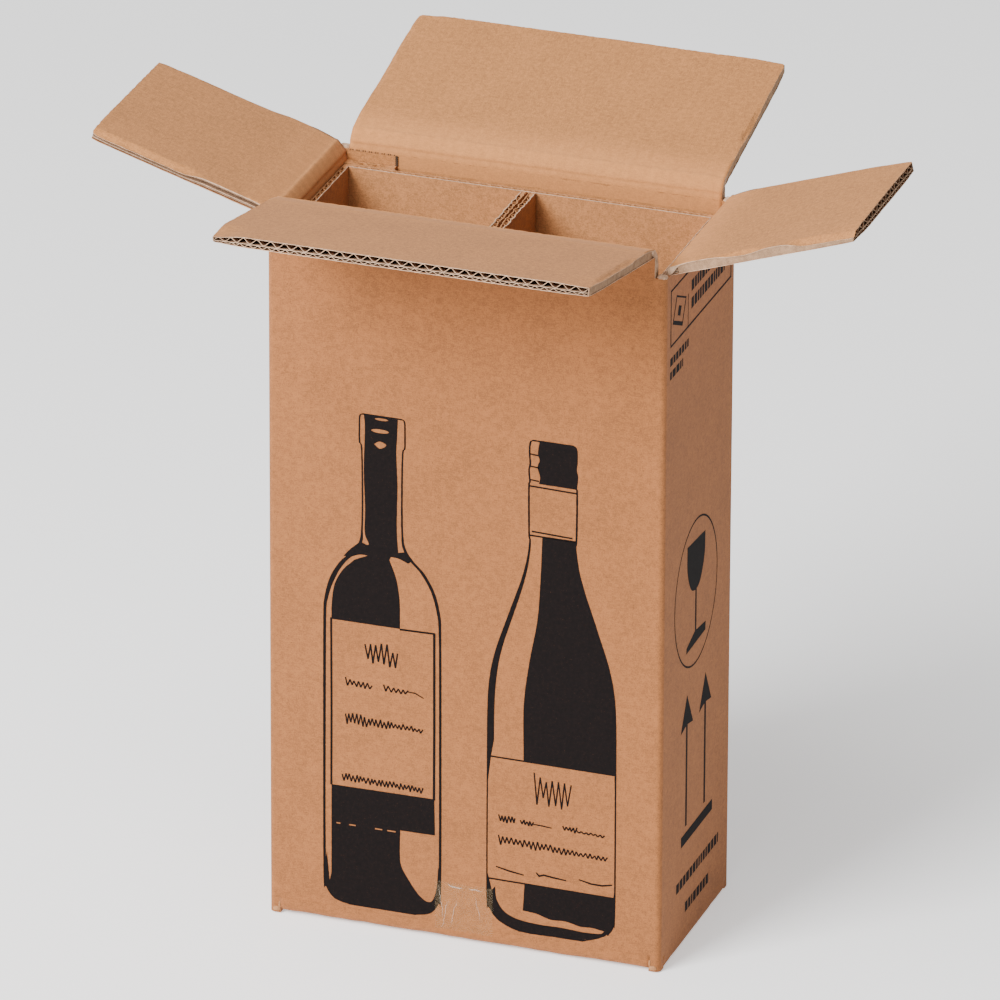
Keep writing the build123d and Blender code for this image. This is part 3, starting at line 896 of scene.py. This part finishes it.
# --- folds, cut edges and corners of the carton -----------------------------
def swept(name, sections, materials, pick, closed_ends=True):
    """Closed tube through rows of points; pick gives the material of each strip along it."""
    form = bmesh.new()
    rows = [[form.verts.new(point) for point in section] for section in sections]
    count = len(rows[0])
    for first, second in zip(rows, rows[1:]):
        for index in range(count):
            after = (index + 1) % count
            face = form.faces.new((first[index], first[after], second[after], second[index]))
            face.material_index = pick(index)
            face.smooth = True
    if closed_ends:
        for row in (rows[0], rows[-1]):
            form.faces.new(row).material_index = len(materials) - 1
    bmesh.ops.recalc_face_normals(form, faces=form.faces)
    data = bpy.data.meshes.new(name)
    form.to_mesh(data)
    form.free()
    for material in materials:
        data.materials.append(material)
    return data


def make_bottom_fold(name, turn, reach, low, half, tight, seed):
    """Crushed fold between a wall and its bottom flap. turn is about Z, from the front of the box."""
    spin = Matrix.Rotation(math.radians(turn), 3, "Z")
    skin = spline([Vector(point) for point in (
        (0.01, low + 9.0), (0.0, low + 3.6 * tight), (0.5 * tight, low + 1.3 * tight), (1.9 * tight, low + 0.1),
        (3.8, low), (5.6, low + 0.6))], 4)
    profile = skin + [Vector((5.6, low + 3.2)), Vector((2.0, low + 4.2)), Vector((0.5, low + 9.0))]
    steps = int(2 * half / 2.5)
    sections = []
    for step in range(steps + 1):
        across = -half + 2 * half * step / steps
        row = []
        for point in profile:
            dent = noise.noise(Vector((across * 0.12, point.y * 0.25, seed))) * 0.35
            sag = noise.noise(Vector((across * 0.03, 0, seed + 5))) * 0.5
            near = 1 - min(abs(point.y - low) / 5, 1)
            inward = point.x + abs(dent) * near
            height = max(point.y + (sag + dent) * near * tight, 0.02)
            row.append(spin @ Vector((across, inward - reach, height)) * MM)
        sections.append(row)
    data = swept(name, sections, [outer_paper, cut_paper], lambda index: 0)
    piece = add_piece(name, data)
    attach(piece, "carton")


def make_slot_edges(half):
    """Cut ends of the front and the back wall above the side walls, in the layers of the board."""
    meshes = []
    for name, side in (("top_flap_front", -1), ("top_flap_back", 1)):
        crease = next(joint["pos_m"] for joint in frame["joints"] if name.endswith(joint["child"].split("_")[0]))
        outer = side * -FRONT
        inner = outer - side * BOARD
        for end in (-1, 1):
            near = end * (half + 0.01 * MM)
            far = end * (half + 0.12 * MM)
            face = [(outer, SIDE_CREASE), (outer, crease[2] - 0.2 * MM), (inner, crease[2] - BOARD), (inner, SIDE_CREASE)]
            sections = [[Vector((across, y, z)) for y, z in face] for across in (near, far)]
            meshes.append(swept(name, sections, [cut_paper], lambda index: 0))
    piece = joined("slot_cut_edges", meshes)
    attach(piece, "carton")


def crumple(middle, spans, rise, facing, material):
    """Lumpy dome of torn paper in millimetres, its rim sunk into the surface behind it."""
    form = bmesh.new()
    steps = 12
    sink = -0.3

    def placed(u, v, lift):
        if facing == "up":
            return Vector((middle[0] + u * spans[0], middle[1] + v * spans[1], middle[2] + lift)) * MM
        return Vector((middle[0] + u * spans[0], middle[1] - lift, middle[2] + v * spans[1])) * MM

    grid = []
    for row in range(steps + 1):
        line = []
        for column in range(steps + 1):
            u = row / steps * 2 - 1
            v = column / steps * 2 - 1
            dome = max(0.0, 1 - abs(u) ** 3) * max(0.0, 1 - abs(v) ** 3)
            bump = noise.noise(Vector((middle[0] + u * 3, middle[1] + v * 3, middle[2])) * 0.42) * rise * 0.5
            shrink = 1 - 0.3 * u * u * v * v
            line.append(form.verts.new(placed(u * shrink, v * shrink, 0.02 + dome * (rise + bump))))
        grid.append(line)
    for first, second in zip(grid, grid[1:]):
        for column in range(steps):
            form.faces.new((first[column], second[column], second[column + 1], first[column + 1])).smooth = True
    rim = grid[0] + [line[-1] for line in grid[1:]] + grid[-1][-2::-1] + [line[0] for line in grid[-2:0:-1]]
    low = []
    for vertex in rim:
        place = vertex.co.copy()
        if facing == "up":
            place.z = (middle[2] + sink) * MM
        else:
            place.y = (middle[1] - sink) * MM
        low.append(form.verts.new(place))
    for index in range(len(rim)):
        after = (index + 1) % len(rim)
        form.faces.new((rim[index], rim[after], low[after], low[index]))
    form.faces.new(low)
    bmesh.ops.recalc_face_normals(form, faces=form.faces)
    data = bpy.data.meshes.new("crumple")
    form.to_mesh(data)
    form.free()
    data.materials.append(material)
    return data


def make_corner_crumples(half_x, half_y):
    """Torn paper where the slots end: on top of the four corners, and low on the two front ones."""
    right = RIGHT / MM
    deep = -FRONT / MM
    meshes = []
    for side_x in (-1, 1):
        for side_y in (-1, 1):
            middle = (side_x * (right + half_x) / 2, side_y * (deep + half_y) / 2, SIDE_CREASE / MM)
            spans = ((right - half_x) / 2 * 0.97, (deep - half_y) / 2 * 0.97)
            meshes.append(crumple(middle, spans, 1.5, "up", bead_paper))
        meshes.append(crumple((side_x * (right - 4.0), -deep, 2.0), (2.2, 1.4), 0.7, "front", curled_paper))
        meshes.append(crumple((side_x * (right - 5.6), -deep, 4.6), (0.7, 1.8), 0.5, "front", curled_paper))
    piece = joined("corner_crumples", meshes)
    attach(piece, "carton")


def make_insert_rim():
    """Frayed liners along the cut top of the insert and, more crumpled, of its divider."""
    low, high = (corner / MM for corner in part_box("bottle_insert"))
    meshes = []
    for inset in (0.15, 2.75):
        near = 1.0 + inset
        wide = high.x - inset
        front = low.y + inset
        back = high.y - inset
        end = high.y - 3.6
        path = [(near, end), (near, front), (wide, front), (wide, back),
                (-wide, back), (-wide, front), (-near, front), (-near, end)]
        sections = []
        for first, second in zip(path, path[1:]):
            first = Vector(first)
            second = Vector(second)
            steps = max(2, int((second - first).length / 1.1))
            aside = Vector((second.y - first.y, first.x - second.x)).normalized()
            for step in range(steps + (second == Vector(path[-1]))):
                place = first.lerp(second, step / steps)
                loose = 1.0 if abs(place.x) < 4.5 and place.y < end - 2 else 0.25
                stray = noise.noise(Vector((place.x, place.y, inset)) * 0.31) * 0.9 * loose
                tall = 0.18 + abs(noise.noise(Vector((place.x, place.y, inset + 9)) * 0.5)) * (0.25 + 0.4 * loose)
                middle = place + aside * stray
                half = aside * (0.17 + 0.16 * loose)
                sections.append([Vector((*(middle + half * side), high.z + up)) * MM
                                 for side, up in ((-1, -0.1), (1, -0.1), (1, tall), (-1, tall))])
        meshes.append(swept("rim", sections, [curled_paper if inset < 1 else bead_paper], lambda index: 0))
    piece = joined("insert_rim", meshes)
    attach(piece, "carton")


def make_tab_edge():
    """Perforated cut along the free edge and crushed top of the glue tab; dark teeth are painted shade."""
    left = -RIGHT + BOARD
    right = left + TAB_WIDTH
    face = -FRONT - 2 * BOARD
    lip = -FRONT - BOARD - 0.5 * MM
    top = BACK_CREASE - BOARD - 0.4 * MM
    bend = SIDE_CREASE - BOARD - 0.5 * MM
    tooth = 1.15 * MM
    meshes = []

    def tooth_block(place, size, material):
        form = bmesh.new()
        bmesh.ops.create_cone(form, segments=4, radius1=0.7, radius2=0.35, depth=1.0, cap_ends=True)
        for vertex in form.verts:
            vertex.co = Vector(place) + Vector((vertex.co.x * size[0], vertex.co.y * size[1], vertex.co.z * size[2]))
        bmesh.ops.recalc_face_normals(form, faces=form.faces)
        data = bpy.data.meshes.new("tooth")
        form.to_mesh(data)
        form.free()
        data.materials.append(material)
        return data

    # teeth of painted shade down the free edge, for the dark shadowed gap there
    for index in range(int((top - bend) / tooth)):
        height = bend + (index + 0.6) * tooth
        meshes.append(tooth_block((right, lip, height), (1.5 * MM, 0.9 * MM, 0.9 * MM), painted_shade_cut))
    count = int((bend - 0.34) / tooth)
    for index in range(count):
        height = bend - index * tooth - 0.4 * MM
        meshes.append(tooth_block((right + 0.1 * MM, face + 0.9 * MM, height), (0.9 * MM, 1.6 * MM, 0.62 * MM), bead_paper))
    # along the top, two of every three teeth are painted shade and the third is pale curled paper
    count = int(TAB_WIDTH / tooth)
    for index in range(count):
        across = left + (index + 0.5) * tooth
        wide = (0.55 + 0.5 * abs(noise.noise(Vector((index, 0, 4)) * 0.37))) * MM
        place = (across, lip + 0.05 * MM, top + 0.1 * MM)
        meshes.append(tooth_block(place, (wide, 0.5 * MM, 0.7 * MM), painted_shade_cut if index % 3 else curled_paper))
    piece = joined("glue_tab_cut", meshes)
    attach(piece, "carton")


# --- tape -------------------------------------------------------------------
def film_material(name, alpha, colour, rough):
    material = bpy.data.materials.new(name)
    material.use_nodes = True
    tree = material.node_tree
    shader = tree.nodes["Principled BSDF"]
    place = add(tree, "ShaderNodeTexCoord").outputs["Object"]
    creases = noise_at(tree, stretched(tree, place, (0, 0, 0.2), (160, 160, 40)), 1.0, 5.0, 0.7)
    bubbles = add(tree, "ShaderNodeTexVoronoi", {"Vector": place, "Scale": 260.0}).outputs["Distance"]
    height = maths(tree, "MULTIPLY_ADD", creases, 1.0, maths(tree, "MULTIPLY", bubbles, 0.3))
    shade = blend_colour(tree, spread(tree, creases, 0.4, 0.65), tint(colour, 0.85), tint(colour, 1.1))
    link(tree, shade, shader.inputs["Base Color"])
    shader.inputs["Alpha"].default_value = alpha
    shader.inputs["Roughness"].default_value = rough
    shader.inputs["IOR"].default_value = 1.5
    bump = add(tree, "ShaderNodeBump", {"Strength": 0.5, "Distance": 0.0004, "Height": height})
    link(tree, bump.outputs[0], shader.inputs["Normal"])
    return material


def make_tape():
    """Wrinkled clear film over the bottom seam, up the front and the back wall."""
    low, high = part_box("bottom_tape")
    half = (high.x - low.x) / 2 / MM
    rise = high.z / MM
    reach = -FRONT / MM
    path = [(-reach - 0.08, rise), (-reach - 0.08, 12), (-reach - 0.07, 6.0), (-reach + 0.35, 3.2), (-reach + 1.8, 1.7),
            (-reach + 5.0, 0.9), (-reach + 9.0, 0.02), (0, 0.0), (reach - 9.0, 0.02), (reach - 3.2, 4.2),
            (reach - 0.9, 6.0), (reach + 0.07, 9.0), (reach + 0.08, 20), (reach + 0.08, rise)]
    middle = []
    for first, second in zip(path, path[1:]):
        steps = max(2, int(math.dist(first, second) / 1.5))
        middle += [Vector(first).lerp(Vector(second), step / steps) for step in range(steps)]
    middle.append(Vector(path[-1]))
    steps = 26
    sections = []
    for index, point in enumerate(middle):
        before = middle[max(index - 1, 0)]
        after = middle[min(index + 1, len(middle) - 1)]
        heading = (after - before).normalized()
        outward = Vector((heading.y, -heading.x))
        if point.x < 0 and outward.x > 0.5 or point.x > 0 and outward.x < -0.5 or outward.y > 0.5:
            outward = -outward
        upright = smooth((point.y - 4) / 6)
        row = []
        for layer in (0, 1):
            for step in range(steps + 1):
                share = step / steps if layer == 0 else 1 - step / steps
                across = (share * 2 - 1) * half
                ridge = noise.noise(Vector((across * 0.35, point.y * 0.12, 3.0 if point.x < 0 else 8.0)))
                lift = max(0.0, ridge - 0.25) * 0.2 * upright
                ragged = noise.noise(Vector((across * 0.5, 0, 1.0))) * 1.1 if index in (0, len(middle) - 1) else 0.0
                place = point + outward * (lift + (0.05 if layer else 0.0))
                row.append(Vector((across, place.x, place.y + ragged)) * MM)
        sections.append(row)
    piece = add_piece("tape_film", swept("tape_film", sections, [film], lambda index: 0))
    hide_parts("bottom_tape")
    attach(piece, "carton")

    wrinkles = []
    for start, end, width in (((-9.0, 31.6), (-1.0, 30.8), 0.8), ((3.0, 31.2), (9.6, 31.0), 0.6),
                              ((-13.6, 30), (-11.4, 12), 0.25), ((6.0, 27), (9.5, 13), 0.25),
                              ((-4.0, 24), (-7.0, 8), 0.25), ((-9.0, 22), (-12.0, 6), 0.3)):
        line = [Vector(start).lerp(Vector(end), step / 6) for step in range(7)]
        line = [point + Vector((noise.noise(Vector((*point, 2)) * 0.4), noise.noise(Vector((*point, 7)) * 0.4))) * 1.2
                for point in line]
        mesh = filled([worn(ribbon(line, width, 0.1), 0.25)])
        form = bmesh.new()
        form.from_mesh(mesh)
        bmesh.ops.remove_doubles(form, verts=form.verts, dist=0.002)
        made = bmesh.ops.extrude_face_region(form, geom=list(form.faces), use_keep_orig=True)
        for item in made["geom"]:
            if isinstance(item, bmesh.types.BMVert):
                item.co.z += 0.15
        for vertex in form.verts:
            vertex.co.z += 0.12
        bmesh.ops.recalc_face_normals(form, faces=form.faces)
        form.to_mesh(mesh)
        form.free()
        mesh.materials.clear()
        mesh.materials.append(wrinkle_film)
        wrinkles.append(mesh)
    piece = joined("tape_wrinkles", wrinkles)
    piece.data.transform(wall_place("front"))
    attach(piece, "carton")


# --- camera, light and floor ------------------------------------------------
def make_camera():
    """Long lens, a little above the box and to its right."""
    azimuth = math.radians(19.3)
    elevation = math.radians(24.4)
    away = Vector((
        math.sin(azimuth) * math.cos(elevation),
        -math.cos(azimuth) * math.cos(elevation),
        math.sin(elevation),
    ))
    right = Vector((0, 0, 1)).cross(away).normalized()
    up = away.cross(right)
    target = Vector((0, 0, 0.5 * (body_low.z + body_high.z) - 0.0017)) - 0.0005 * right + 0.0265 * up
    data = bpy.data.cameras.new("camera")
    data.lens = 468.0
    data.sensor_width = 36.0
    data.clip_end = 50.0
    camera = bpy.data.objects.new("camera", data)
    camera.location = target + away * 6.75
    roll = Matrix.Rotation(math.radians(0.23), 3, away)
    camera.rotation_euler = (roll @ Matrix((right, up, away)).transposed()).to_euler()
    bpy.context.scene.collection.objects.link(camera)
    bpy.context.scene.camera = camera


def make_light(name, place, size, power, colour=(1, 1, 1)):
    data = bpy.data.lights.new(name, "AREA")
    data.shape = "RECTANGLE"
    data.size = size[0]
    data.size_y = size[1]
    data.energy = power
    data.color = colour
    lamp = bpy.data.objects.new(name, data)
    lamp.location = place
    aim = Vector((0, 0, 0.22)) - Vector(place)
    lamp.rotation_euler = aim.to_track_quat("-Z", "Y").to_euler()
    bpy.context.scene.collection.objects.link(lamp)


def make_studio():
    world = bpy.data.worlds.new("studio")
    bpy.context.scene.world = world
    world.use_nodes = True
    background = world.node_tree.nodes["Background"]
    background.inputs[0].default_value = (1.0, 0.99, 0.975, 1)
    background.inputs[1].default_value = 0.25
    make_light("key", (-1.3, -2.4, 2.1), (1.5, 1.3), 185)
    make_light("top", (-0.4, -0.9, 2.6), (1.6, 1.6), 55)

    floor = bmesh.new()
    bmesh.ops.create_grid(floor, x_segments=1, y_segments=1, size=12.0)
    data = bpy.data.meshes.new("floor")
    floor.to_mesh(data)
    floor.free()
    material = bpy.data.materials.new("floor_white")
    material.use_nodes = True
    shader = material.node_tree.nodes["Principled BSDF"]
    shader.inputs["Base Color"].default_value = (0.93, 0.93, 0.93, 1)
    shader.inputs["Roughness"].default_value = 0.7
    shader.inputs["Emission Color"].default_value = (1, 1, 1, 1)
    shader.inputs["Emission Strength"].default_value = 0.6
    data.materials.append(material)
    plane = add_piece("floor", data)
    plane.location.z = body_low.z - 0.0005


# --- assembly ---------------------------------------------------------------
def paint(node, material):
    node.data.materials.clear()
    node.data.materials.append(material)


make_camera()
make_studio()
paint(nodes["carton_body"], outer_paper)
paint(nodes["bottle_insert"], insert_paper)

knocked = {
    "top_flap_front": [(1, 0.35), (-1, 1.0)],
    "top_flap_back": [(1, 0.35), (-1, 0.3)],
    "top_flap_left": [(1, 0.15), (-1, 0.1)],
    "top_flap_right": [(1, 0.2), (-1, 0.45)],
}
pressed = {
    "top_flap_front": [(1, 4.0, 0.2, 34, 90)],
    "top_flap_back": [(1, 3.0, 0.2, 34, 120), (-1, 3.0, 0.3, 34, 60)],
    "top_flap_left": [(1, 5.0, 0.45, 46, 130), (-1, 3.0, 0.2, 34, 120)],
    "top_flap_right": [(-1, 6.0, 0.5, 70, 130), (-1, 4.0, 0.3, 30, 50)],
}
for number, joint in enumerate(frame["joints"]):
    flap = "top_flap_" + joint["child"].split("_")[0]
    closed = (-1,) if flap == "top_flap_left" else (-1, 1)
    make_flap(flap, joint, 3.0 + 7 * number, knocked[flap], pressed[flap], closed)
    make_crease(flap, joint, 5.0 + 11 * number)

film = film_material("clear_film", 0.035, FILM, 0.35)
wrinkle_film = film_material("white_wrinkle", 0.22, (0.74, 0.62, 0.50), 0.45)
make_tape()
make_bottom_fold("front_bottom_fold", 0, -FRONT / MM, 0.9, WIDE_HALF / MM + 0.6, 1.0, 1.0)
make_bottom_fold("back_bottom_fold", 180, -FRONT / MM, 2.6, WIDE_HALF / MM + 0.6, 1.0, 4.0)
make_bottom_fold("right_bottom_fold", 90, RIGHT / MM, 0.05, NARROW_HALF / MM + 0.6, 0.5, 2.0)
make_bottom_fold("left_bottom_fold", -90, RIGHT / MM, 0.05, NARROW_HALF / MM + 0.6, 0.5, 3.0)
make_slot_edges(WIDE_HALF)
make_corner_crumples(WIDE_HALF / MM + 0.15, NARROW_HALF / MM + 0.45)
make_insert_rim()
make_tab_edge()
print_on("print_claret_bottle", "front", claret_bottle())
print_on("print_burgundy_bottle", "front", burgundy_bottle())
print_on("print_handling_marks", "right", handling_marks())
